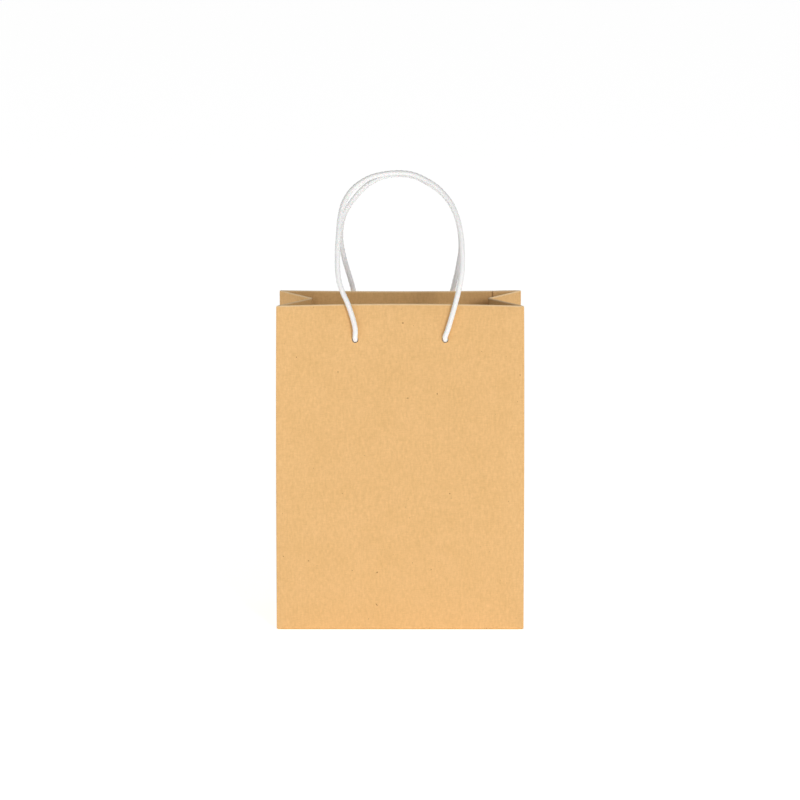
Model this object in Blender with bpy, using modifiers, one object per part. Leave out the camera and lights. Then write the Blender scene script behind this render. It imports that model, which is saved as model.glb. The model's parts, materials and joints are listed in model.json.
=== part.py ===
"""Kraft paper gift bag with side gussets, a turned-in top and two braided cord handles.

Metres, +Z up. The origin is the middle of the base, on the surface that the bag stands on.
The wide front panel faces -Y. One folded sheet makes all the walls: its panels between the
creases are modelled one by one, with a small gap where the paper would turn the corner.
"""

import math

import bpy
import bmesh
from mathutils import Vector

# Driving dimensions of the bag
WIDTH = 0.210  # across the front panel
DEPTH = 0.110  # front to back at the base, and the full width of a gusset
HEIGHT = 0.2775  # base to rim
PAPER = 0.0004
BOARD = 0.0010
GAP = 0.0003  # kept between solids that touch on the real bag
GUSSET_TUCK = 0.029  # how far a gusset's centre crease is pushed in at the rim
FRONT_BOW = 0.011  # how far the middle of the front rim stands in from its corners
BACK_BOW = 0.0055
BOW_GROWTH = 1.6  # power with which the bow grows from base to rim

# Turned-in top
HEM_HEIGHT = 0.046
RIM_BOARD_HEIGHT = 0.040
SEAM_WIDTH = 0.0245

# Cord handles
CORD_RADIUS = 0.00225
HOLE_RADIUS = 0.0026
HOLE_HALF_SPACING = 0.038
HOLE_DROP = 0.030  # from the rim down to the holes
CORD_STAND_OFF = 0.0004  # between the cord and the panel it rises along
LOOP_TOP_Y = 0.0027  # how near the middle plane the two loops come at their tops
LEAN_POWER = 1.9  # keeps the cord clear of the rim, then leans it in
KNOT_RADIUS = 0.0070
KNOT_LENGTH = 0.012
TAIL_LENGTH = 0.009
KNOT_CLEARANCE = 0.0016  # between the hem and the round of the knot
KNOT_SIDES = 12
HOLE_SIDES = 16
CUTTER_DEPTH = 0.04

# Bottom
FLAP_OVERLAP = 0.020
SIDE_FLAP_REACH = 0.050
BOARD_MARGIN = 0.0018

HALF_WIDTH = WIDTH / 2
HALF_GUSSET = DEPTH / 2
HOLE_HEIGHT = HEIGHT - HOLE_DROP
FRONT = -1
BACK = 1
LEFT = -1
RIGHT = 1
SIDE_NAMES = {FRONT: "front", BACK: "back"}
FACE_NAMES = {LEFT: "left", RIGHT: "right"}

# Layers of the turned-in top, as depths behind the middle of the outer sheet
BOARD_INSET = PAPER / 2 + GAP + BOARD / 2
HEM_INSET = PAPER + 2 * GAP + BOARD
SEAM_TOP_INSET = HEM_INSET + GAP + PAPER
SEAM_INSET = PAPER + GAP
GUSSET_HEM_INSET = 0.0011

# How far each layer stays from the crease at a corner
PANEL_CORNER = 0.0012
HEM_CORNER = 0.0046
GUSSET_HEM_CORNER = 0.0022
CREASE_GAP = 0.0005

# Each loop's route, as (distance along X, height above the holes), from the left hole to the right
FRONT_ROUTE = [
    (-0.0380, 0.0031), (-0.0378, 0.0090), (-0.0390, 0.0155), (-0.0414, 0.0235), (-0.0445, 0.0320),
    (-0.0484, 0.0405), (-0.0514, 0.0495), (-0.0527, 0.0600), (-0.0528, 0.0745), (-0.0521, 0.0870),
    (-0.0508, 0.1010), (-0.0480, 0.1125), (-0.0424, 0.1218), (-0.0350, 0.1285), (-0.0245, 0.1340),
    (-0.0120, 0.1367), (0.0000, 0.1374), (0.0110, 0.1360), (0.0215, 0.1317), (0.0312, 0.1258),
    (0.0385, 0.1187), (0.0440, 0.1110), (0.0478, 0.1020), (0.0505, 0.0920), (0.0520, 0.0805),
    (0.0524, 0.0680), (0.0520, 0.0570), (0.0505, 0.0480), (0.0484, 0.0385), (0.0459, 0.0290),
    (0.0429, 0.0185), (0.0402, 0.0095), (0.0380, 0.0031),
]
BACK_ROUTE = [
    (-0.0380, 0.0031), (-0.0382, 0.0120), (-0.0394, 0.0220), (-0.0413, 0.0325), (-0.0435, 0.0410),
    (-0.0458, 0.0490), (-0.0480, 0.0570), (-0.0500, 0.0665), (-0.0513, 0.0765), (-0.0507, 0.0880),
    (-0.0480, 0.0990), (-0.0432, 0.1080), (-0.0370, 0.1165), (-0.0295, 0.1245), (-0.0200, 0.1310),
    (-0.0100, 0.1345), (0.0000, 0.1354), (0.0110, 0.1340), (0.0213, 0.1290), (0.0310, 0.1225),
    (0.0390, 0.1145), (0.0448, 0.1055), (0.0488, 0.0955), (0.0512, 0.0850), (0.0523, 0.0745),
    (0.0522, 0.0650), (0.0510, 0.0565), (0.0494, 0.0470), (0.0475, 0.0385), (0.0455, 0.0300),
    (0.0425, 0.0200), (0.0395, 0.0105), (0.0380, 0.0031),
]
ROUTES = {FRONT: FRONT_ROUTE, BACK: BACK_ROUTE}
STEPS_BETWEEN = 2  # points that the smooth curve adds for each stretch of a route

KRAFT = (0.82, 0.52, 0.25, 1.0)
BOARD_GREY = (0.52, 0.47, 0.40, 1.0)
CORD_WHITE = (0.90, 0.90, 0.88, 1.0)


def clear_scene():
    for old in list(bpy.data.objects):
        bpy.data.objects.remove(old, do_unlink=True)


def new_collection(name):
    made = bpy.data.collections.new(name)
    bpy.context.scene.collection.children.link(made)
    return made


def plain_material(name, colour, roughness):
    made = bpy.data.materials.new(name)
    made.use_nodes = True
    shader = made.node_tree.nodes["Principled BSDF"]
    shader.inputs["Base Color"].default_value = colour
    shader.inputs["Roughness"].default_value = roughness
    shader.inputs["Metallic"].default_value = 0.0
    return made


# ---- The shape of the folded sheet ----


def tuck(z):
    """How far the gusset's centre crease stands in from the side at height z."""
    return GUSSET_TUCK * max(0.0, z - HALF_GUSSET) / (HEIGHT - HALF_GUSSET)


def half_depth(z):
    """Half the distance between the front and back panels' side creases at height z."""
    return math.sqrt(HALF_GUSSET**2 - tuck(z) ** 2)


def bow(side, z):
    """How far the middle of a panel stands in from its side creases at height z."""
    rim_bow = FRONT_BOW if side == FRONT else BACK_BOW
    return rim_bow * (max(z, 0.0) / HEIGHT) ** BOW_GROWTH


def half_chord(side, z):
    """Half the panel's width at height z: a bowed panel is a little narrower."""
    return HALF_WIDTH - 4 * bow(side, z) ** 2 / (3 * WIDTH)


def wall_point(side, across, z, inset):
    """A point on the front or back wall. across runs from -1 to 1."""
    depth = half_depth(z) - bow(side, z) * (1 - across**2) - inset
    return Vector((across * half_chord(side, z), side * depth, z))


def gusset_point(face, side, reach, z, inset):
    """A point on half a gusset. reach is 0 at the corner crease and 1 at the centre crease."""
    along = reach * HALF_GUSSET
    tucked = GUSSET_TUCK * reach * max(0.0, z - along) / (HEIGHT - along)
    corner = half_chord(side, z)
    edge = corner + (HALF_WIDTH - corner) * reach
    return Vector((face * (edge - tucked - inset), side * half_depth(z) * (1 - reach), z))


def panel_face(side, x, z):
    """The outer surface of the front or back panel, as a distance from the middle plane."""
    across = x / half_chord(side, z)
    return abs(wall_point(side, across, z, 0.0).y) + PAPER / 2


# ---- Building blocks ----


def finish_object(name, mesh, material, collection):
    made = bpy.data.objects.new(name, mesh)
    made.data.materials.append(material)
    collection.objects.link(made)
    return made


def sheet(name, point, columns, rows, thickness, material, collection):
    """A panel: a flat grid bent to point(u, v), then given its thickness."""
    bm = bmesh.new()
    bmesh.ops.create_grid(bm, x_segments=columns, y_segments=rows, size=0.5)
    for vert in bm.verts:
        vert.co = point(vert.co.x + 0.5, vert.co.y + 0.5)
    mesh = bpy.data.meshes.new(name)
    bm.to_mesh(mesh)
    bm.free()
    made = finish_object(name, mesh, material, collection)
    solid = made.modifiers.new("Thickness", "SOLIDIFY")
    solid.thickness = thickness
    solid.offset = 0.0
    return made


def flat_outline(name, corners, thickness, material, collection):
    """A flat polygon in the curve's own XY plane, with half its thickness on each side."""
    curve = bpy.data.curves.new(name, "CURVE")
    curve.dimensions = "2D"
    curve.fill_mode = "BOTH"
    curve.extrude = thickness / 2
    line = curve.splines.new("POLY")
    line.points.add(len(corners) - 1)
    for knot, (x, y) in zip(line.points, corners):
        knot.co = (x, y, 0.0, 1.0)
    line.use_cyclic_u = True
    curve.materials.append(material)
    made = bpy.data.objects.new(name, curve)
    collection.objects.link(made)
    return made


def punch(target, side, cutters):
    """Cut both cord holes through a front or back layer."""
    for face in (LEFT, RIGHT):
        cut = target.modifiers.new("Hole", "BOOLEAN")
        cut.operation = "DIFFERENCE"
        cut.solver = "EXACT"
        cut.object = cutters[side, face]


def make_cutters(collection):
    made = {}
    for side in (FRONT, BACK):
        for face in (LEFT, RIGHT):
            bm = bmesh.new()
            bmesh.ops.create_cone(
                bm,
                cap_ends=True,
                segments=HOLE_SIDES,
                radius1=HOLE_RADIUS,
                radius2=HOLE_RADIUS,
                depth=CUTTER_DEPTH,
            )
            name = f"cutter_{SIDE_NAMES[side]}_{FACE_NAMES[face]}"
            mesh = bpy.data.meshes.new(name)
            bm.to_mesh(mesh)
            bm.free()
            cutter = bpy.data.objects.new(name, mesh)
            cutter.rotation_euler = (math.pi / 2, 0, 0)
            cutter.location = (face * HOLE_HALF_SPACING, side * half_depth(HOLE_HEIGHT), HOLE_HEIGHT)
            cutter.hide_render = True
            cutter.display_type = "WIRE"
            collection.objects.link(cutter)
            made[side, face] = cutter
    return made


# ---- The sheet's panels ----


def make_wall(side, paper, parts, cutters):
    def outer(u, v):
        return wall_point(side, 2 * u - 1, v * HEIGHT, 0.0)

    panel = sheet(f"{SIDE_NAMES[side]}_panel", outer, 12, 8, PAPER, paper, parts)
    punch(panel, side, cutters)


def make_rim_layers(side, paper, board, parts, cutters):
    """The card strip behind the rim and the hem that is folded down over it."""
    span = 1 - HEM_CORNER / HALF_WIDTH

    def board_at(u, v):
        z = HEIGHT - GAP - PAPER - v * RIM_BOARD_HEIGHT
        return wall_point(side, span * (2 * u - 1), z, BOARD_INSET)

    def hem_at(u, v):
        return wall_point(side, span * (2 * u - 1), HEIGHT - v * HEM_HEIGHT, HEM_INSET)

    strip = sheet(f"{SIDE_NAMES[side]}_rim_board", board_at, 12, 2, BOARD, board, parts)
    hem = sheet(f"{SIDE_NAMES[side]}_top_hem", hem_at, 12, 2, PAPER, paper, parts)
    punch(strip, side, cutters)
    punch(hem, side, cutters)


def make_gusset_half(face, side, paper, parts):
    first = PANEL_CORNER / HALF_GUSSET
    last = 1 - CREASE_GAP / HALF_GUSSET

    def half_at(u, v):
        reach = first + (last - first) * u
        low = reach * HALF_GUSSET + GAP
        return gusset_point(face, side, reach, low + (HEIGHT - low) * v, 0.0)

    name = f"{FACE_NAMES[face]}_gusset_{SIDE_NAMES[side]}_half"
    sheet(name, half_at, 5, 16, PAPER, paper, parts)


def make_gusset_hem(face, side, paper, parts):
    first = GUSSET_HEM_CORNER / HALF_GUSSET
    last = 1 - CREASE_GAP / HALF_GUSSET

    def hem_at(u, v):
        reach = first + (last - first) * u
        return gusset_point(face, side, reach, HEIGHT - v * HEM_HEIGHT, GUSSET_HEM_INSET)

    name = f"{FACE_NAMES[face]}_{SIDE_NAMES[side]}_gusset_hem"
    sheet(name, hem_at, 5, 4, PAPER, paper, parts)


def make_gusset_triangle(face, paper, parts):
    """The flat triangle at a gusset's foot, below the creases that rise to its centre."""
    foot = HALF_GUSSET - PANEL_CORNER
    corners = [(-foot, 0.0), (foot, 0.0), (0.0, foot)]
    made = flat_outline(f"{FACE_NAMES[face]}_gusset_foot", corners, PAPER, paper, parts)
    made.rotation_euler = (math.pi / 2, 0, math.pi / 2)
    made.location = (face * HALF_WIDTH, 0.0, 0.0)


def make_seam_flap(paper, parts):
    """The glued strip inside the back wall, next to its right corner."""
    outer_edge = 1 - HEM_CORNER / HALF_WIDTH
    inner_edge = 1 - SEAM_WIDTH / HALF_WIDTH
    foot = 0.004
    step_low = HEIGHT - HEM_HEIGHT - 0.008
    step_high = HEIGHT - HEM_HEIGHT - 0.001
    levels = [foot, 0.060, 0.120, 0.180, step_low, step_high, HEIGHT - 0.02, HEIGHT]
    insets = [SEAM_INSET] * 5 + [SEAM_TOP_INSET] * 3

    def seam_at(u, v):
        row = round(v * (len(levels) - 1))
        across = inner_edge + (outer_edge - inner_edge) * u
        return wall_point(BACK, across, levels[row], insets[row])

    sheet("side_seam_flap", seam_at, 2, len(levels) - 1, PAPER, paper, parts)


# ---- The bottom ----


def make_bottom(paper, board, parts):
    inside_x = HALF_WIDTH - PAPER / 2 - GAP
    inside_y = HALF_GUSSET - PAPER / 2 - GAP
    step = PAPER + GAP

    def lay(name, corners, level, thickness, material):
        made = flat_outline(name, corners, thickness, material, parts)
        made.location = (0.0, 0.0, level + thickness / 2)

    for side, level in ((FRONT, 0.0), (BACK, step)):
        corners = [
            (-inside_x, side * inside_y),
            (inside_x, side * inside_y),
            (inside_x, 0.0),
            (inside_x - FLAP_OVERLAP, -side * FLAP_OVERLAP),
            (FLAP_OVERLAP - inside_x, -side * FLAP_OVERLAP),
            (-inside_x, 0.0),
        ]
        lay(f"bottom_{SIDE_NAMES[side]}_flap", corners, level, PAPER, paper)
    for face in (LEFT, RIGHT):
        corners = [
            (face * inside_x, -inside_y),
            (face * inside_x, inside_y),
            (face * (inside_x - SIDE_FLAP_REACH), inside_y - SIDE_FLAP_REACH),
            (face * (inside_x - SIDE_FLAP_REACH), SIDE_FLAP_REACH - inside_y),
        ]
        lay(f"bottom_{FACE_NAMES[face]}_flap", corners, 2 * step, PAPER, paper)
    board_x = HALF_WIDTH - BOARD_MARGIN
    board_y = HALF_GUSSET - BOARD_MARGIN
    corners = [(-board_x, -board_y), (board_x, -board_y), (board_x, board_y), (-board_x, board_y)]
    lay("base_board", corners, 3 * step, BOARD, board)


# ---- The cord handles ----


def swing_axis_y(side):
    """Where the cord turns up outside its hole, as a signed Y."""
    face = panel_face(side, HOLE_HALF_SPACING, HOLE_HEIGHT)
    return side * (face + CORD_STAND_OFF + CORD_RADIUS)


def smooth_points(points, steps):
    """Catmull-Rom points through a route."""
    out = []
    ends = [points[0]] + points + [points[-1]]
    for before, start, end, after in zip(ends, ends[1:], ends[2:], ends[3:]):
        for k in range(steps):
            t = k / steps
            linear = 2 * start + (end - before) * t
            square = (2 * before - 5 * start + 4 * end - after) * t**2
            cube = (3 * start - before - 3 * end + after) * t**3
            out.append(0.5 * (linear + square + cube))
    out.append(points[-1])
    return out


def loop_route(side):
    """The loop leans from its holes towards the middle of the bag's mouth."""
    route = ROUTES[side]
    top = max(height for _, height in route)
    low_y = swing_axis_y(side)
    points = []
    for x, height in route:
        lean = (abs(low_y) - LOOP_TOP_Y) * (height / top) ** LEAN_POWER
        points.append(Vector((x, side * (abs(low_y) - lean), HOLE_HEIGHT + height)))
    return smooth_points(points, STEPS_BETWEEN)


def make_loop(side, cord, parts):
    """The loop that swings. Its object's origin is on the line through its two holes."""
    name = f"{SIDE_NAMES[side]}_cord_loop"
    pivot = Vector((0.0, swing_axis_y(side), HOLE_HEIGHT))
    curve = bpy.data.curves.new(name, "CURVE")
    curve.dimensions = "3D"
    curve.bevel_depth = CORD_RADIUS
    curve.bevel_resolution = 2
    curve.use_fill_caps = True
    points = loop_route(side)
    line = curve.splines.new("POLY")
    line.points.add(len(points) - 1)
    for knot, place in zip(line.points, points):
        knot.co = (*(place - pivot), 1.0)
    curve.materials.append(cord)
    made = bpy.data.objects.new(name, curve)
    made.location = pivot
    parts.objects.link(made)


def make_cord_end(side, face, cord, parts):
    """The end of a cord: the length through the hole, the stopper knot and its short tail."""
    name = f"{SIDE_NAMES[side]}_{FACE_NAMES[face]}_cord_knot"
    start = abs(swing_axis_y(side))
    hem_face = panel_face(side, HOLE_HALF_SPACING, HOLE_HEIGHT) - PAPER - HEM_INSET
    knot_start = start - hem_face + KNOT_CLEARANCE
    profile = [(0.0, 0.0), (CORD_RADIUS, 0.0), (CORD_RADIUS, knot_start)]
    rings = 6
    for k in range(1, rings):
        turn = math.pi * k / rings
        radius = CORD_RADIUS + (KNOT_RADIUS - CORD_RADIUS) * math.sin(turn)
        profile.append((radius, knot_start + KNOT_LENGTH * (1 - math.cos(turn)) / 2))
    tail_end = knot_start + KNOT_LENGTH + TAIL_LENGTH
    profile.append((CORD_RADIUS, knot_start + KNOT_LENGTH))
    profile.append((CORD_RADIUS, tail_end))
    profile.append((0.0, tail_end))
    bm = bmesh.new()
    ring = [bm.verts.new((radius, 0.0, -depth)) for radius, depth in profile]
    for first, second in zip(ring, ring[1:]):
        bm.edges.new((first, second))
    mesh = bpy.data.meshes.new(name)
    bm.to_mesh(mesh)
    bm.free()
    made = finish_object(name, mesh, cord, parts)
    turned = made.modifiers.new("Turned", "SCREW")
    turned.steps = KNOT_SIDES
    turned.render_steps = KNOT_SIDES
    turned.use_merge_vertices = True
    turned.merge_threshold = 0.00005
    made.rotation_euler = (side * -math.pi / 2, 0, 0)
    made.location = (face * HOLE_HALF_SPACING, side * start, HOLE_HEIGHT)


def main():
    clear_scene()
    parts = new_collection("gift_bag")
    guides = new_collection("cutters")
    paper = plain_material("kraft_paper", KRAFT, 0.85)
    board = plain_material("grey_board", BOARD_GREY, 0.9)
    cord = plain_material("white_cord", CORD_WHITE, 0.7)
    cutters = make_cutters(guides)
    for side in (FRONT, BACK):
        make_wall(side, paper, parts, cutters)
        make_rim_layers(side, paper, board, parts, cutters)
        make_loop(side, cord, parts)
        for face in (LEFT, RIGHT):
            make_gusset_half(face, side, paper, parts)
            make_gusset_hem(face, side, paper, parts)
            make_cord_end(side, face, cord, parts)
    for face in (LEFT, RIGHT):
        make_gusset_triangle(face, paper, parts)
    make_seam_flap(paper, parts)
    make_bottom(paper, board, parts)


main()
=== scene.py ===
"""Looks of the kraft gift bag: one folded kraft sheet, card stiffeners and two braided cords."""

import json
import math

import bpy
import bmesh
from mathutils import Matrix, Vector, noise


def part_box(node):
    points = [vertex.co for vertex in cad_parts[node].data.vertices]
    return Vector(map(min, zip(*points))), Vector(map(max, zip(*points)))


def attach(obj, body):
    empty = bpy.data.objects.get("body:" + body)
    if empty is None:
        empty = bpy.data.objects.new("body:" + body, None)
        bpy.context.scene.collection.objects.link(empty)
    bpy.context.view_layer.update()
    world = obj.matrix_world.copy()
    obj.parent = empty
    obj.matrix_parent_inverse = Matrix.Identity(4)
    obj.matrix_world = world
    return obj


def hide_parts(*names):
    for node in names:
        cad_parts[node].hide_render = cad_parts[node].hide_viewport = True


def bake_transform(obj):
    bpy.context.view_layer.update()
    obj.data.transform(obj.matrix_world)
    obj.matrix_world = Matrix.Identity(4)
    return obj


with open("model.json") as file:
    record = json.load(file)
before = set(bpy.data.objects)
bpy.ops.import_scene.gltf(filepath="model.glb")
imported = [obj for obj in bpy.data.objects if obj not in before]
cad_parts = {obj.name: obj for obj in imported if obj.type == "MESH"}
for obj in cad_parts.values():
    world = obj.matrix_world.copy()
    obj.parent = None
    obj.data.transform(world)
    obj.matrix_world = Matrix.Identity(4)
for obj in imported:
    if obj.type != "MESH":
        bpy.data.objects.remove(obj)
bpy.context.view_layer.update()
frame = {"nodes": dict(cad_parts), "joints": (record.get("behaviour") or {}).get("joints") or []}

# ---- Sizes, read from the frame where it holds them ----

PAPER = 0.0004
GAP = 0.0003  # between neighbouring solids in the CAD
BOARD = 0.0010
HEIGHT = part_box("front_panel")[1][2]
HALF_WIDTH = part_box("front_panel")[1][0]
HALF_GUSSET = -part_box("bottom_front_flap")[0][1] + PAPER / 2 + GAP
GUSSET_TUCK = 0.029  # how far in the gusset's centre crease stands at the rim
BOWS = {-1: 0.011, 1: 0.0055}  # how far in each wall's middle stands at the rim
BOW_GROWTH = 1.6
HEM_HEIGHT = 0.046
HEM_INSET = PAPER + 2 * GAP + BOARD
GUSSET_HEM_INSET = 0.0011

JOINTS = {j["name"]: j for j in frame["joints"]}
AXIS_POINTS = {
    -1: Vector(JOINTS["front_handle_swing"]["pos_m"]),
    1: Vector(JOINTS["back_handle_swing"]["pos_m"]),
}
HOLE_HEIGHT = AXIS_POINTS[-1].z
HOLE_X = 0.038
HOLE_RADIUS = 0.0027
HOLE_LIFT = 0.0003  # the cords pull up in their holes

SIDE_NAMES = {-1: "front", 1: "back"}
FACE_NAMES = {-1: "left", 1: "right"}

CORD_DIAMETER = 0.0045
LOOP_TOP_Y = 0.0027  # how far from the middle plane a loop's top stands
LEAN_POWER = 1.9

# The cords' routes, as part.py has them: (distance along X, height above the holes)
ROUTES = {
    -1: [
        (-0.0380, 0.0031), (-0.0378, 0.0090), (-0.0390, 0.0155), (-0.0414, 0.0235), (-0.0445, 0.0320),
        (-0.0484, 0.0405), (-0.0514, 0.0495), (-0.0527, 0.0600), (-0.0528, 0.0745), (-0.0521, 0.0870),
        (-0.0508, 0.1010), (-0.0480, 0.1125), (-0.0424, 0.1218), (-0.0350, 0.1285), (-0.0245, 0.1340),
        (-0.0120, 0.1367), (0.0000, 0.1374), (0.0110, 0.1360), (0.0215, 0.1317), (0.0312, 0.1258),
        (0.0385, 0.1187), (0.0440, 0.1110), (0.0478, 0.1020), (0.0505, 0.0920), (0.0520, 0.0805),
        (0.0524, 0.0680), (0.0520, 0.0570), (0.0505, 0.0480), (0.0484, 0.0385), (0.0459, 0.0290),
        (0.0429, 0.0185), (0.0402, 0.0095), (0.0380, 0.0031),
    ],
    1: [
        (-0.0380, 0.0031), (-0.0382, 0.0120), (-0.0394, 0.0220), (-0.0413, 0.0325), (-0.0435, 0.0410),
        (-0.0458, 0.0490), (-0.0480, 0.0570), (-0.0500, 0.0665), (-0.0513, 0.0765), (-0.0507, 0.0880),
        (-0.0480, 0.0990), (-0.0432, 0.1080), (-0.0370, 0.1165), (-0.0295, 0.1245), (-0.0200, 0.1310),
        (-0.0100, 0.1345), (0.0000, 0.1354), (0.0110, 0.1340), (0.0213, 0.1290), (0.0310, 0.1225),
        (0.0390, 0.1145), (0.0448, 0.1055), (0.0488, 0.0955), (0.0512, 0.0850), (0.0523, 0.0745),
        (0.0522, 0.0650), (0.0510, 0.0565), (0.0494, 0.0470), (0.0475, 0.0385), (0.0455, 0.0300),
        (0.0425, 0.0200), (0.0395, 0.0105), (0.0380, 0.0031),
    ],
}


# ---- Camera, floor and light ----

FILL_LIGHT = 0.27  # the world's strength as a light
BACKDROP = 1.02  # and where the camera sees it
LIGHT_TARGET = (0.0, 0.0, 0.18)
SOFTBOX_SIZE = 0.9
FLOOR_SIZE = 12.0


def make_camera():
    data = bpy.data.cameras.new("photo_camera")
    data.lens = 146.7
    data.sensor_width = 36.0
    camera = bpy.data.objects.new("photo_camera", data)
    bpy.context.scene.collection.objects.link(camera)
    distance = 2.8
    pitch = math.radians(10.04)
    yaw = math.radians(-0.08)
    aim = Vector((-0.0002, 0.0, 0.1889))
    forward = Vector(
        (math.sin(yaw) * math.cos(pitch), math.cos(yaw) * math.cos(pitch), -math.sin(pitch))
    )
    camera.location = aim - forward * distance
    camera.rotation_mode = "QUATERNION"
    camera.rotation_quaternion = forward.to_track_quat("-Z", "Y")
    data.clip_end = 50.0
    bpy.context.scene.camera = camera


def add_softbox(name, place, power):
    data = bpy.data.lights.new(name, "AREA")
    data.shape = "DISK"
    data.size = SOFTBOX_SIZE
    data.energy = power
    light = bpy.data.objects.new(name, data)
    light.location = place
    light.rotation_mode = "QUATERNION"
    light.rotation_quaternion = (Vector(LIGHT_TARGET) - Vector(place)).to_track_quat("-Z", "Y")
    bpy.context.scene.collection.objects.link(light)


def make_stage():
    """A white floor, large enough to reach past every view's edge."""
    bm = bmesh.new()
    bmesh.ops.create_grid(bm, x_segments=1, y_segments=1, size=FLOOR_SIZE)
    mesh = bpy.data.meshes.new("floor")
    bm.to_mesh(mesh)
    bm.free()
    floor = bpy.data.objects.new("floor", mesh)
    bpy.context.scene.collection.objects.link(floor)
    white = bpy.data.materials.new("floor_white")
    white.use_nodes = True
    shader = white.node_tree.nodes["Principled BSDF"]
    shader.inputs["Base Color"].default_value = (0.92, 0.92, 0.92, 1.0)
    shader.inputs["Roughness"].default_value = 0.9
    shader.inputs["Specular IOR Level"].default_value = 0.1
    shader.inputs["Emission Color"].default_value = (1.0, 1.0, 1.0, 1.0)
    shader.inputs["Emission Strength"].default_value = 0.74
    mesh.materials.append(white)


def make_light():
    scene = bpy.context.scene
    scene.view_settings.view_transform = "Standard"
    scene.view_settings.look = "None"
    world = bpy.data.worlds.new("studio")
    world.use_nodes = True
    tree = world.node_tree
    sky = tree.nodes["Background"]
    sky.inputs["Color"].default_value = (1.0, 1.0, 1.0, 1.0)
    seen = tree.nodes.new("ShaderNodeLightPath")
    level = tree.nodes.new("ShaderNodeMapRange")
    level.inputs["To Min"].default_value = FILL_LIGHT
    level.inputs["To Max"].default_value = BACKDROP
    tree.links.new(seen.outputs["Is Camera Ray"], level.inputs["Value"])
    tree.links.new(level.outputs["Result"], sky.inputs["Strength"])
    scene.world = world
    add_softbox("front_right_softbox", (1.2, -3.0, 1.15), 42.0)
    add_softbox("front_left_softbox", (-1.7, -2.6, 1.25), 8.0)


# ---- Shape of the folded sheet, the same formulas as the CAD ----

RIPPLE_DEPTH = 0.00055
RIPPLES_ALONG = 14.0
RIPPLES_UP = 9.0
FACE_STEP = 3.7  # keeps one face's ripples from repeating on the next


def tuck(z):
    """How far in the gusset's centre crease stands at height z."""
    return GUSSET_TUCK * max(0.0, z - HALF_GUSSET) / (HEIGHT - HALF_GUSSET)


def half_depth(z):
    """Half the distance between the front and back walls' side creases."""
    return math.sqrt(HALF_GUSSET**2 - tuck(z) ** 2)


def bow(side, z):
    """How far in a wall's middle stands at height z."""
    return BOWS[side] * (max(z, 0.0) / HEIGHT) ** BOW_GROWTH


def half_chord(side, z):
    """Half the straight distance between a bowed wall's side creases, its paper's width kept."""
    return HALF_WIDTH - 2 * bow(side, z) ** 2 / (3 * HALF_WIDTH)


def wall_point(side, across, z, inset):
    depth = half_depth(z) - bow(side, z) * (1 - across**2) - inset
    return Vector((across * half_chord(side, z), side * depth, z))


def gusset_point(face, side, reach, z, inset):
    along = reach * HALF_GUSSET
    tucked = GUSSET_TUCK * reach * max(0.0, z - along) / (HEIGHT - along)
    corner = half_chord(side, z)
    edge = corner + (HALF_WIDTH - corner) * reach
    return Vector((face * (edge - tucked - inset), side * half_depth(z) * (1 - reach), z))


def ripple(face_key, along, z):
    """The paper's slight unevenness, the same for every layer at one place."""
    fade = min(1.0, z / 0.03) * min(1.0, (HEIGHT - z) / 0.05 + 0.25)
    place = Vector((along * RIPPLES_ALONG, z * RIPPLES_UP, face_key * FACE_STEP))
    return RIPPLE_DEPTH * fade * noise.noise(place)


# ---- The folded sheet ----
# A station is a place round the bag: 0 to 2 is the front wall, 2 to 4 the right gusset, 4 to 6 the
# back wall and 6 to 8 the left gusset.

WALL_COLUMNS = 40
GUSSET_COLUMNS = 14
OUTER_ROWS = 56
RIM_STEPS = 8
HEM_ROWS = 10
CREASE_STEPS = 4
CREASE_REACH = 0.0007  # from a crease to where its rounding starts
CORNER_Y = 0.00265  # how far the turned-in layer's corner stands in from the outer corner
CORNER_EASE = 0.12  # share of a gusset half over which the rim's fold tightens
FOOT_FOLD = 0.0007
FLAP_OVERLAP = 0.020  # how far the front and back bottom flaps reach past the middle
FLAP_STEPS = 12
FOLD_STEPS = 4
SIDE_FLAP_REACH = 0.050
SIDE_FLAP_TAPER = 0.96  # how far each end comes in for each metre of reach
LAYER = PAPER + 0.00008  # a paper's thickness with the air under it
HOLE_SIDES = 28
CUTTER_DEPTH = 0.03


def layer_point(station, z, depth):
    """A point of the sheet's middle surface. depth is 0 on the outer layer and 1 on the hem."""
    station = station % 8
    side = -1 if station < 3 or station > 7 else 1
    corner_shift = CORNER_Y * depth
    low = corner_shift / half_depth(z)
    if station <= 2 or 4 <= station <= 6:
        across = station - 1 if station <= 2 else 5 - station
        start = gusset_point(1, side, low, z, GUSSET_HEM_INSET * depth).x
        across *= start / half_chord(side, z)
        point = wall_point(side, across, z, HEM_INSET * depth)
        point.y -= side * ripple(side, point.x, z) * (1 - across**2)
        return point
    reach = 1 - abs(station - (3 if station < 4 else 7))
    face = 1 if station < 4 else -1
    low_reach = 1 - (1 - reach) * (1 - low)
    point = gusset_point(face, side, low_reach, z, GUSSET_HEM_INSET * depth)
    point.x -= face * ripple(5 + face, point.y, z) * 4 * reach * (1 - reach)
    return point


def stations():
    """The places round the bag, with a short rounded stretch at each crease."""
    out = []
    for start, width, columns in (
        (0, 2, WALL_COLUMNS),
        (2, 1, GUSSET_COLUMNS),
        (3, 1, GUSSET_COLUMNS),
        (4, 2, WALL_COLUMNS),
        (6, 1, GUSSET_COLUMNS),
        (7, 1, GUSSET_COLUMNS),
    ):
        out.append(("crease", start))
        out.extend(("plain", start + width * k / columns) for k in range(1, columns))
    return out


STATIONS = stations()


def station_length(station):
    """Metres of paper for one step of station: a wall is two steps wide, a gusset half one."""
    inside_wall = station % 8 < 2 or 4 <= station % 8 < 6
    return HALF_WIDTH if inside_wall else HALF_GUSSET


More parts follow.
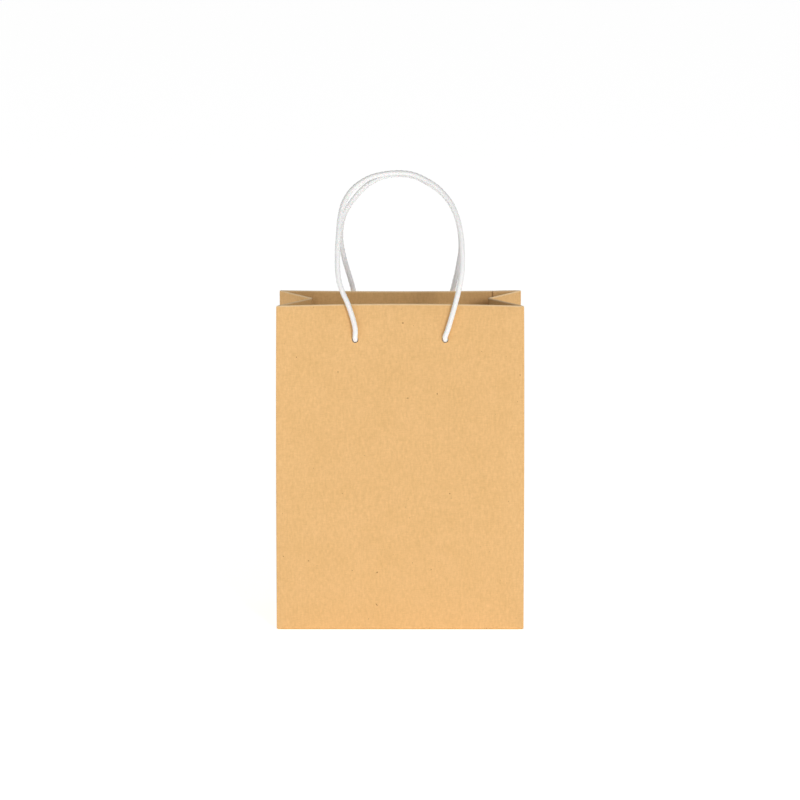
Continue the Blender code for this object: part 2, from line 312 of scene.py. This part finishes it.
def ring_points(z_of, depth_of):
    """One closed ring of the sheet. z_of and depth_of give height and layer at a station."""
    out = []
    for kind, station in STATIONS:
        z = z_of(station)
        depth = depth_of(station)
        if kind == "plain":
            out.append(layer_point(station, z, depth))
            continue
        before = layer_point(station - CREASE_REACH / station_length(station - 0.01), z, depth)
        after = layer_point(station + CREASE_REACH / station_length(station + 0.01), z, depth)
        corner = layer_point(station, z, depth)
        for k in range(CREASE_STEPS + 1):
            t = k / CREASE_STEPS
            out.append(before * (1 - t) ** 2 + corner * 2 * t * (1 - t) + after * t**2)
    return out


def fold_radius(station):
    """The rim folds over the card on the walls, and flat onto itself on the gussets."""
    station = station % 8
    if station <= 2 or 4 <= station <= 6:
        return HEM_INSET / 2
    reach = 1 - abs(station - (3 if station < 4 else 7))
    ease = min(1.0, reach / CORNER_EASE)
    return HEM_INSET / 2 * (1 - ease) + GUSSET_HEM_INSET / 2 * ease


def sheet_rows():
    """Rings from the foot up the outside, over the rim and down the hem."""
    rows = []
    for k in range(OUTER_ROWS + 1):
        share = k / OUTER_ROWS

        def height(station, share=share):
            top = HEIGHT - PAPER / 2 - fold_radius(station)
            return FOOT_FOLD + (top - FOOT_FOLD) * share

        rows.append((height, lambda station: 0.0))
    for k in range(1, RIM_STEPS + 1):
        angle = math.pi * k / RIM_STEPS

        def height(station, angle=angle):
            return HEIGHT - PAPER / 2 - fold_radius(station) * (1 - math.sin(angle))

        rows.append((height, lambda station, angle=angle: (1 - math.cos(angle)) / 2))
    for k in range(1, HEM_ROWS + 1):
        share = k / HEM_ROWS

        def height(station, share=share):
            top = HEIGHT - PAPER / 2 - fold_radius(station)
            return top + (HEIGHT - HEM_HEIGHT - top) * share

        rows.append((height, lambda station: 1.0))
    return rows


def add_flap(bm, edge, inward, reach, level, taper):
    """A bottom flap from a run of foot vertices. taper gives how far its ends have come in."""
    middle = sum((v.co for v in edge), Vector()) / len(edge)
    sideways = Vector((-inward.y, inward.x, 0.0))
    rows = [edge]
    for k in range(1, FOLD_STEPS + 1):
        angle = math.pi / 2 * k / FOLD_STEPS
        drop = FOOT_FOLD * math.sin(angle)
        run = FOOT_FOLD * (1 - math.cos(angle))
        lift = (level + PAPER / 2) * math.sin(angle)
        rows.append([bm.verts.new(v.co + inward * run - Vector((0, 0, drop - lift))) for v in edge])
    last = rows[-1]
    for k in range(1, FLAP_STEPS + 1):
        run = reach * k / FLAP_STEPS
        new_row = []
        for v in last:
            offset = (v.co - middle).dot(sideways)
            half = max(abs((last[0].co - middle).dot(sideways)), 1e-6)
            narrowed = offset * (half - taper(run)) / half
            place = v.co + inward * run + sideways * (narrowed - offset)
            new_row.append(bm.verts.new(place))
        rows.append(new_row)
    for low, high in zip(rows, rows[1:]):
        for a, b, c, d in zip(low, low[1:], high[1:], high):
            bm.faces.new((a, b, c, d))


def smooth_by_angle(mesh, degrees):
    for polygon in mesh.polygons:
        polygon.use_smooth = True
    mesh.set_sharp_from_angle(angle=math.radians(degrees))


def new_object(name, mesh):
    made = bpy.data.objects.new(name, mesh)
    bpy.context.scene.collection.objects.link(made)
    return made


def apply_modifiers(made):
    depsgraph = bpy.context.evaluated_depsgraph_get()
    baked = bpy.data.meshes.new_from_object(made.evaluated_get(depsgraph))
    made.modifiers.clear()
    old = made.data
    made.data = baked
    bpy.data.meshes.remove(old)


def thicken(made, thickness):
    solid = made.modifiers.new("Thickness", "SOLIDIFY")
    solid.thickness = thickness
    solid.offset = 0.0
    solid.use_even_offset = True
    apply_modifiers(made)


def punch_holes(made, sides):
    """Cut the cord holes with the EXACT solver, then remove the cutters."""
    cutters = []
    for side in sides:
        for face in (-1, 1):
            bm = bmesh.new()
            bmesh.ops.create_cone(
                bm,
                cap_ends=True,
                segments=HOLE_SIDES,
                radius1=HOLE_RADIUS,
                radius2=HOLE_RADIUS,
                depth=CUTTER_DEPTH,
            )
            mesh = bpy.data.meshes.new("cutter")
            bm.to_mesh(mesh)
            bm.free()
            cutter = new_object("cutter", mesh)
            cutter.rotation_euler = (math.pi / 2, 0, 0)
            cutter.location = (face * HOLE_X, AXIS_POINTS[side].y, HOLE_HEIGHT + HOLE_LIFT)
            cutters.append(cutter)
            cut = made.modifiers.new("Hole", "BOOLEAN")
            cut.operation = "DIFFERENCE"
            cut.solver = "EXACT"
            cut.object = cutter
    bpy.context.view_layer.update()
    apply_modifiers(made)
    for cutter in cutters:
        bpy.data.objects.remove(cutter)


def make_sheet(material):
    bm = bmesh.new()
    rings = []
    for height, depth in sheet_rows():
        rings.append([bm.verts.new(p) for p in ring_points(height, depth)])
    count = len(rings[0])
    for low, high in zip(rings, rings[1:]):
        for k in range(count):
            bm.faces.new((low[k], low[(k + 1) % count], high[(k + 1) % count], high[k]))
    add_bottom(bm, rings[0])
    mesh = bpy.data.meshes.new("kraft_sheet")
    bm.to_mesh(mesh)
    bm.free()
    made = new_object("kraft_sheet", mesh)
    thicken(made, PAPER)
    for vertex in made.data.vertices:
        vertex.co.z = max(vertex.co.z, 0.0)
    punch_holes(made, (-1, 1))
    smooth_by_angle(made.data, 38)
    made.data.materials.clear()
    made.data.materials.append(material)
    return made


def add_bottom(bm, foot_ring):
    """The four flaps that fold in under the bag. The front one lies outermost."""
    places = []
    for kind, station in STATIONS:
        copies = CREASE_STEPS + 1 if kind == "crease" else 1
        places.extend([station] * copies)

    def run_between(first, last):
        start = [k for k, s in enumerate(places) if s == first][CREASE_STEPS]
        end = [k for k, s in enumerate(places) if s == last % 8][0]
        end = end if end > start else end + len(places)
        return [foot_ring[k % len(places)] for k in range(start, end + 1)]

    deep = HALF_GUSSET + FLAP_OVERLAP - FOOT_FOLD

    def late_taper(run):
        return max(0.0, run - (deep - FLAP_OVERLAP))

    def side_taper(run):
        return run * SIDE_FLAP_TAPER

    add_flap(bm, run_between(0, 2), Vector((0, 1, 0)), deep, 0.0, late_taper)
    add_flap(bm, run_between(4, 6), Vector((0, -1, 0)), deep, LAYER, late_taper)
    add_flap(bm, run_between(2, 4), Vector((-1, 0, 0)), SIDE_FLAP_REACH, 2 * LAYER, side_taper)
    add_flap(bm, run_between(6, 8), Vector((1, 0, 0)), SIDE_FLAP_REACH, 2 * LAYER, side_taper)


STRIP_HEIGHT = 0.0402
STRIP_SPAN = 0.955  # share of the wall's half width that a card strip reaches
STRIP_ROWS = 6
STRIP_COLUMNS = 24
TOP_CLEARANCE = 0.0002  # between a card strip and the fold over it
SEAM_WIDTH = 0.0245
SEAM_LIFT = 0.0018  # how far the seam flap's free edge stands off the wall
SEAM_OUTER = 0.962  # share of the wall's half width that the seam flap reaches
SEAM_FOOT = 0.004
SEAM_STEP = 0.006  # height over which the seam flap steps onto the hem
SEAM_AIR = 0.0001
SEAM_PROUD = 0.0003  # how far the seam flap stands above the rim
SEAM_COLUMNS = 16


def wall_strip(name, side, low_across, high_across, levels, thickness, material, columns, lift=0.0):
    """A strip along a wall from (height, inset) levels. Its low_across edge stands off by lift."""
    bm = bmesh.new()
    rows = []
    for z, inset in levels:
        row = []
        for k in range(columns + 1):
            across = low_across + (high_across - low_across) * k / columns
            point = wall_point(side, across, z, inset + lift * (1 - k / columns) ** 6)
            point.y -= side * ripple(side, point.x, z) * (1 - across**2)
            row.append(bm.verts.new(point))
        rows.append(row)
    for low, high in zip(rows, rows[1:]):
        for a, b, c, d in zip(low, low[1:], high[1:], high):
            bm.faces.new((a, b, c, d))
    mesh = bpy.data.meshes.new(name)
    bm.to_mesh(mesh)
    bm.free()
    made = new_object(name, mesh)
    thicken(made, thickness)
    made.data.materials.clear()
    made.data.materials.append(material)
    return made


def make_rim_board(side, material):
    inset = PAPER / 2 + GAP + BOARD / 2
    top = HEIGHT - PAPER - GAP - TOP_CLEARANCE
    levels = [(top - STRIP_HEIGHT * (1 - k / STRIP_ROWS), inset) for k in range(STRIP_ROWS + 1)]
    name = f"{SIDE_NAMES[side]}_card_strip"
    made = wall_strip(name, side, -STRIP_SPAN, STRIP_SPAN, levels, BOARD, material, STRIP_COLUMNS)
    punch_holes(made, (side,))
    smooth_by_angle(made.data, 35)
    return made


def make_seam_flap(material):
    """The glued strip inside the back wall, doubled behind the hem, a hair above the rim."""
    inner = 1 - SEAM_WIDTH / HALF_WIDTH
    hem_foot = HEIGHT - HEM_HEIGHT
    flat = PAPER + SEAM_AIR
    top_inset = HEM_INSET + PAPER + SEAM_AIR
    low_rows = 20
    high_rows = 8
    low_run = hem_foot - SEAM_STEP - SEAM_FOOT
    high_run = HEIGHT + SEAM_PROUD - hem_foot
    levels = [(SEAM_FOOT + low_run * k / low_rows, flat) for k in range(low_rows + 1)]
    levels += [
        (hem_foot - 0.0045, flat + 0.0002),
        (hem_foot - 0.0025, (flat + top_inset) / 2),
        (hem_foot - 0.0005, top_inset),
    ]
    levels += [(hem_foot + high_run * k / high_rows, top_inset) for k in range(1, high_rows + 1)]
    made = wall_strip(
        "glued_seam_flap", 1, inner, SEAM_OUTER, levels, PAPER, material, SEAM_COLUMNS, SEAM_LIFT
    )
    smooth_by_angle(made.data, 35)
    return made


# ---- Cords ----

STRETCH_STEPS = 14  # smooth points for each stretch of a route
CORD_STEP = 0.0006
CORD_SIDES = 32
KNOT_RADIUS = 0.0022  # the cord's radius where its knots pull it tight
KNOT_SIDES = 24
KNOT_POINTS = 150
KNOT_SPREAD = 0.0018
KNOT_DEPTH = 0.0020
KNOT_INSET = 0.0138  # from the swing's axis to the knot's middle


def smooth_points(points, steps):
    """Catmull-Rom points through a route."""
    out = []
    ends = [points[0]] + points + [points[-1]]
    for before, start, end, after in zip(ends, ends[1:], ends[2:], ends[3:]):
        for k in range(steps):
            t = k / steps
            linear = 2 * start + (end - before) * t
            square = (2 * before - 5 * start + 4 * end - after) * t**2
            cube = (3 * start - before - 3 * end + after) * t**3
            out.append(0.5 * (linear + square + cube))
    out.append(points[-1])
    return out


def evenly(points, step):
    """Points at equal distances along a line of points."""
    lengths = [0.0]
    for a, b in zip(points, points[1:]):
        lengths.append(lengths[-1] + (b - a).length)
    count = round(lengths[-1] / step)
    out = []
    segment = 0
    for k in range(count + 1):
        want = lengths[-1] * k / count
        while segment < len(points) - 2 and lengths[segment + 1] < want:
            segment += 1
        span = max(lengths[segment + 1] - lengths[segment], 1e-9)
        out.append(points[segment].lerp(points[segment + 1], (want - lengths[segment]) / span))
    return out


def cord_path(side):
    """From inside the left knot, out of its hole, round the loop and back in at the right."""
    pivot = AXIS_POINTS[side]
    inward = Vector((0, -side, 0))
    top = max(height for _, height in ROUTES[side])
    points = []
    for x, height in ROUTES[side][1:-1]:
        lean = (abs(pivot.y) - LOOP_TOP_Y) * (height / top) ** LEAN_POWER
        points.append(Vector((x, side * (abs(pivot.y) - lean), HOLE_HEIGHT + height)))

    def way_in(face):
        hole = Vector((face * HOLE_X, pivot.y, HOLE_HEIGHT))
        return [
            hole + inward * 0.0150,
            hole + inward * 0.0100,
            hole + inward * 0.0050 + Vector((0, 0, 0.0001)),
            hole + inward * 0.0018 + Vector((0, 0, 0.0009)),
            hole + inward * 0.0003 + Vector((0, 0, 0.0036)),
        ]

    return way_in(-1) + points + list(reversed(way_in(1)))


def frames_along(points):
    """A direction across the line at each point, turning as little as it can."""
    tangents = []
    for k in range(len(points)):
        ahead = points[min(k + 1, len(points) - 1)]
        behind = points[max(k - 1, 0)]
        tangents.append((ahead - behind).normalized())
    across = tangents[0].orthogonal().normalized()
    out = []
    for tangent in tangents:
        across = (across - tangent * across.dot(tangent)).normalized()
        out.append((tangent, across.copy(), tangent.cross(across)))
    return out


BRAID_STRANDS = 8  # in each direction round the cord
BRAID_CELL = 0.0021  # along the cord
BRAID_RELIEF = 0.00042


def braid_height(angle, along):
    """0 in the grooves and 1 on top of a strand, for two families of strands that interlace."""
    turn = BRAID_STRANDS * angle / (2 * math.pi)
    first = turn + along / (2 * BRAID_CELL)
    second = turn - along / (2 * BRAID_CELL)
    i, j = math.floor(first), math.floor(second)
    across, lengthwise = first - i - 0.5, second - j - 0.5
    if (i + j) % 2:
        across, lengthwise = lengthwise, across
    side_curve = max(0.0, 1 - (2 * across) ** 2) ** 0.5
    end_curve = max(0.0, math.cos(math.pi * lengthwise * 0.92)) ** 0.6
    return side_curve * end_curve


def cord_mesh(bm, points, radius, sides, relief):
    """A braided tube with closed ends along evenly spaced points."""
    along = 0.0
    rings = []
    previous = points[0]
    for point, (_, across, up) in zip(points, frames_along(points)):
        along += (point - previous).length
        previous = point
        ring = []
        for k in range(sides):
            angle = 2 * math.pi * k / sides
            reach = radius - relief * (1 - braid_height(angle, along))
            direction = across * math.cos(angle) + up * math.sin(angle)
            ring.append(bm.verts.new(point + direction * reach))
        rings.append(ring)
    for low, high in zip(rings, rings[1:]):
        for k in range(sides):
            n = (k + 1) % sides
            bm.faces.new((low[k], low[n], high[n], high[k]))
    bm.faces.new(list(reversed(rings[0])))
    bm.faces.new(rings[-1])


def object_from(bm, name, material, angle):
    mesh = bpy.data.meshes.new(name)
    bm.to_mesh(mesh)
    bm.free()
    smooth_by_angle(mesh, angle)
    mesh.materials.append(material)
    return new_object(name, mesh)


def make_cord(side, material):
    step = CORD_STEP
    path = evenly(smooth_points(cord_path(side), STRETCH_STEPS), step)
    bm = bmesh.new()
    cord_mesh(bm, path, CORD_DIAMETER / 2, CORD_SIDES, BRAID_RELIEF)
    made = object_from(bm, f"{SIDE_NAMES[side]}_cord", material, 60)
    return made, path


def make_knot(side, face, material):
    """An overhand knot drawn tight against the hem, with its short tail."""
    centre = Vector((face * HOLE_X, AXIS_POINTS[side].y - side * KNOT_INSET, HOLE_HEIGHT))
    loop = []
    for k in range(KNOT_POINTS):
        t = 2 * math.pi * k / KNOT_POINTS
        wide = KNOT_SPREAD * (math.sin(t) + 2 * math.sin(2 * t))
        deep = KNOT_DEPTH * math.sin(3 * t)
        tall = KNOT_SPREAD * (math.cos(t) - 2 * math.cos(2 * t))
        loop.append(centre + Vector((wide, deep, tall)))
    loop.append(loop[0].copy())
    tail_start = centre + Vector((0.002 * face, -side * 0.002, -0.002))
    tail = [
        tail_start,
        tail_start + Vector((0.0015 * face, -side * 0.0050, -0.0030)),
        tail_start + Vector((0.0020 * face, -side * 0.0085, -0.0085)),
        tail_start + Vector((0.0015 * face, -side * 0.0095, -0.0150)),
    ]
    bm = bmesh.new()
    for line in (loop, smooth_points(tail, 8)):
        cord_mesh(bm, evenly(line, CORD_STEP), KNOT_RADIUS, KNOT_SIDES, BRAID_RELIEF)
    name = f"{SIDE_NAMES[side]}_{FACE_NAMES[face]}_overhand_knot"
    return object_from(bm, name, material, 60)


# ---- Materials ----

# how far down from the rim the painted highlight reaches
RIM_HIGHLIGHT_WIDTH = 0.0016
CREASE_WIDTH = 0.0011  # half the width of the painted shade and the bump dent along a folded crease


def node_material(name):
    made = bpy.data.materials.new(name)
    made.use_nodes = True
    tree = made.node_tree
    return made, tree, tree.nodes["Principled BSDF"]


def add_noise(tree, coordinates, scale, detail, stretch=(1.0, 1.0, 1.0)):
    mapping = tree.nodes.new("ShaderNodeMapping")
    mapping.inputs["Scale"].default_value = stretch
    tree.links.new(coordinates, mapping.inputs["Vector"])
    texture = tree.nodes.new("ShaderNodeTexNoise")
    texture.inputs["Scale"].default_value = scale
    texture.inputs["Detail"].default_value = detail
    texture.inputs["Roughness"].default_value = 0.6
    tree.links.new(mapping.outputs["Vector"], texture.inputs["Vector"])
    return texture.outputs["Fac"]


def add_ramp(tree, source, stops):
    ramp = tree.nodes.new("ShaderNodeValToRGB")
    elements = ramp.color_ramp.elements
    while len(elements) < len(stops):
        elements.new(0.5)
    for element, (place, colour) in zip(elements, stops):
        element.position = place
        element.color = (*colour, 1.0)
    tree.links.new(source, ramp.inputs["Fac"])
    return ramp.outputs["Color"]


def add_multiply(tree, first, second):
    mix = tree.nodes.new("ShaderNodeMix")
    mix.data_type = "RGBA"
    mix.blend_type = "MULTIPLY"
    mix.inputs["Factor"].default_value = 1.0
    tree.links.new(first, mix.inputs["A"])
    tree.links.new(second, mix.inputs["B"])
    return mix.outputs["Result"]


def add_bump(tree, shader, height, strength, distance):
    bump = tree.nodes.new("ShaderNodeBump")
    bump.inputs["Strength"].default_value = strength
    bump.inputs["Distance"].default_value = distance
    tree.links.new(height, bump.inputs["Height"])
    tree.links.new(bump.outputs["Normal"], shader.inputs["Normal"])


def object_coordinates(tree):
    return tree.nodes.new("ShaderNodeTexCoord").outputs["Object"]


def add_math(tree, operation, first, second=None):
    """A Math node. Each input is a socket or a number."""
    node = tree.nodes.new("ShaderNodeMath")
    node.operation = operation
    for socket, value in zip(node.inputs, (first, second)):
        if value is None:
            continue
        if isinstance(value, (int, float)):
            socket.default_value = value
        else:
            tree.links.new(value, socket)
    return node.outputs["Value"]


def add_falloff(tree, distance, reach):
    """1 where distance is 0, falling to 0 at reach."""
    node = tree.nodes.new("ShaderNodeMapRange")
    node.interpolation_type = "SMOOTHSTEP"
    node.inputs["From Max"].default_value = reach
    node.inputs["To Min"].default_value = 1.0
    node.inputs["To Max"].default_value = 0.0
    tree.links.new(distance, node.inputs["Value"])
    return node.outputs["Result"]


def gusset_crease_mask(tree, place):
    """1 on a gusset's centre crease and on the two creases that rise to it from the foot."""
    split = tree.nodes.new("ShaderNodeSeparateXYZ")
    tree.links.new(place, split.inputs["Vector"])
    off_centre = add_math(tree, "ABSOLUTE", split.outputs["Y"])
    off_middle = add_math(tree, "ABSOLUTE", split.outputs["X"])
    above_foot = add_math(tree, "GREATER_THAN", split.outputs["Z"], 2 * BOARD)
    centre = add_math(tree, "MULTIPLY", add_falloff(tree, off_centre, CREASE_WIDTH), above_foot)
    rise = add_math(tree, "ADD", off_centre, split.outputs["Z"])
    off_rise = add_math(tree, "ABSOLUTE", add_math(tree, "SUBTRACT", rise, HALF_GUSSET))
    on_gusset = add_math(tree, "GREATER_THAN", off_middle, HALF_WIDTH - BOARD)
    rising = add_math(tree, "MULTIPLY", add_falloff(tree, off_rise, CREASE_WIDTH), on_gusset)
    return add_math(tree, "MAXIMUM", centre, rising)


def add_painted_rim_highlight(tree, place, colour):
    """Paints a highlight along the folded rim: the paper is painted paler there than the flat paper below
    it.
    """
    split = tree.nodes.new("ShaderNodeSeparateXYZ")
    tree.links.new(place, split.inputs["Vector"])
    below_rim = add_math(tree, "SUBTRACT", HEIGHT, split.outputs["Z"])
    mix = tree.nodes.new("ShaderNodeMix")
    mix.data_type = "RGBA"
    tree.links.new(add_falloff(tree, below_rim, RIM_HIGHLIGHT_WIDTH), mix.inputs["Factor"])
    tree.links.new(colour, mix.inputs["A"])
    # the painted highlight's colour
    mix.inputs["B"].default_value = (0.93, 0.70, 0.42, 1.0)
    return mix.outputs["Result"]


def kraft_material():
    """Uncoated kraft: a warm ground, cloudy pulp, short fibres and a few dark specks, with painted shade
    on the gusset creases and a painted highlight along the rim.
    """
    made, tree, shader = node_material("kraft_paper")
    place = object_coordinates(tree)
    clouds = add_noise(tree, place, 38.0, 5.0)
    ground = add_ramp(
        tree, clouds, [(0.30, (0.805, 0.496, 0.211)), (0.70, (0.838, 0.520, 0.230))]
    )
    fibres = add_noise(tree, place, 620.0, 3.0, (1.0, 1.0, 0.35))
    fibre_tint = add_ramp(tree, fibres, [(0.30, (0.89, 0.87, 0.83)), (0.70, (1.0, 1.0, 1.0))])
    cross_fibres = add_noise(tree, place, 1100.0, 2.0, (0.25, 0.25, 1.0))
    cross_tint = add_ramp(tree, cross_fibres, [(0.32, (0.93, 0.92, 0.89)), (0.68, (1.0, 1.0, 1.0))])
    specks = add_noise(tree, place, 430.0, 0.0)
    speck_tint = add_ramp(tree, specks, [(0.110, (0.50, 0.40, 0.30)), (0.135, (1.0, 1.0, 1.0))])
    colour = add_multiply(tree, ground, fibre_tint)
    colour = add_multiply(tree, colour, cross_tint)
    colour = add_multiply(tree, colour, speck_tint)
    crease = gusset_crease_mask(tree, place)
    # painted shade: darkens the paper along the gusset creases
    painted_crease_shade = add_ramp(tree, crease, [(0.0, (1.0, 1.0, 1.0)), (1.0, (0.80, 0.76, 0.70))])
    colour = add_multiply(tree, colour, painted_crease_shade)
    # painted highlight: the colour is mixed paler along the top of the rim
    colour = add_painted_rim_highlight(tree, place, colour)
    tree.links.new(colour, shader.inputs["Base Color"])
    shader.inputs["Roughness"].default_value = 0.78
    shader.inputs["Specular IOR Level"].default_value = 0.25
    relief = add_math(tree, "SUBTRACT", fibres, crease)
    add_bump(tree, shader, relief, 0.35, 0.00015)
    return made


def board_material():
    """Recycled grey board: a speckled grey-brown with coarse fibres."""
    made, tree, shader = node_material("grey_board")
    place = object_coordinates(tree)
    mottle = add_noise(tree, place, 160.0, 5.0)
    ground = add_ramp(
        tree, mottle, [(0.32, (0.40, 0.35, 0.29)), (0.55, (0.50, 0.45, 0.38)), (0.75, (0.58, 0.53, 0.46))]
    )
    flecks = add_noise(tree, place, 700.0, 2.0)
    fleck_tint = add_ramp(tree, flecks, [(0.30, (0.70, 0.68, 0.66)), (0.52, (1.0, 1.0, 1.0))])
    colour = add_multiply(tree, ground, fleck_tint)
    tree.links.new(colour, shader.inputs["Base Color"])
    shader.inputs["Roughness"].default_value = 0.9
    add_bump(tree, shader, flecks, 0.4, 0.0001)
    return made


def cord_material():
    """Matt white braid: soft sheen, fine filaments and a little greying in the grooves."""
    made, tree, shader = node_material("white_cord")
    place = object_coordinates(tree)
    filaments = add_noise(tree, place, 2600.0, 2.0)
    tone = add_ramp(tree, filaments, [(0.30, (0.81, 0.81, 0.802)), (0.65, (0.91, 0.91, 0.902))])
    tree.links.new(tone, shader.inputs["Base Color"])
    shader.inputs["Roughness"].default_value = 0.62
    shader.inputs["Sheen Weight"].default_value = 0.45
    shader.inputs["Specular IOR Level"].default_value = 0.3
    shader.inputs["Subsurface Weight"].default_value = 0.08
    shader.inputs["Subsurface Scale"].default_value = 0.0015
    add_bump(tree, shader, filaments, 0.5, 0.00008)
    return made


# ---- Assembly ----


def dress(made, slot, body, *nodes):
    """Hide a piece's CAD nodes and attach it to its body; slot is not used. A cord has no body, as it is
    blended.
    """
    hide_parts(*nodes)
    if body:
        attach(made, body)
    return made


def dress_sheet(kraft):
    nodes = ["front_panel", "back_panel", "front_top_hem", "back_top_hem"]
    for face in ("left", "right"):
        nodes.append(f"{face}_gusset_foot")
        for side in ("front", "back"):
            nodes += [f"{face}_gusset_{side}_half", f"{face}_{side}_gusset_hem"]
    nodes += [f"bottom_{place}_flap" for place in ("front", "back", "left", "right")]
    paper = dress(make_sheet(kraft), "kraft_paper", "root", *nodes)
    flap = dress(make_seam_flap(kraft), "kraft_paper", "root", "side_seam_flap")


def dress_cords(cord):
    for side in (-1, 1):
        name = SIDE_NAMES[side]
        for face in (-1, 1):
            node = f"{name}_{FACE_NAMES[face]}_cord_knot"
            dress(make_knot(side, face, cord), "white_cord", "root", node)
        made, path = make_cord(side, cord)
        dress(made, "white_cord", None, f"{name}_cord_loop")
        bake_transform(made)


def main():
    make_camera()
    make_stage()
    make_light()
    kraft = kraft_material()
    board = board_material()
    cord = cord_material()
    dress_cords(cord)
    dress_sheet(kraft)
    for side in (-1, 1):
        dress(make_rim_board(side, board), "grey_board", "root", f"{SIDE_NAMES[side]}_rim_board")
    base = frame["nodes"]["base_board"]
    base.data.materials.clear()
    base.data.materials.append(board)


main()
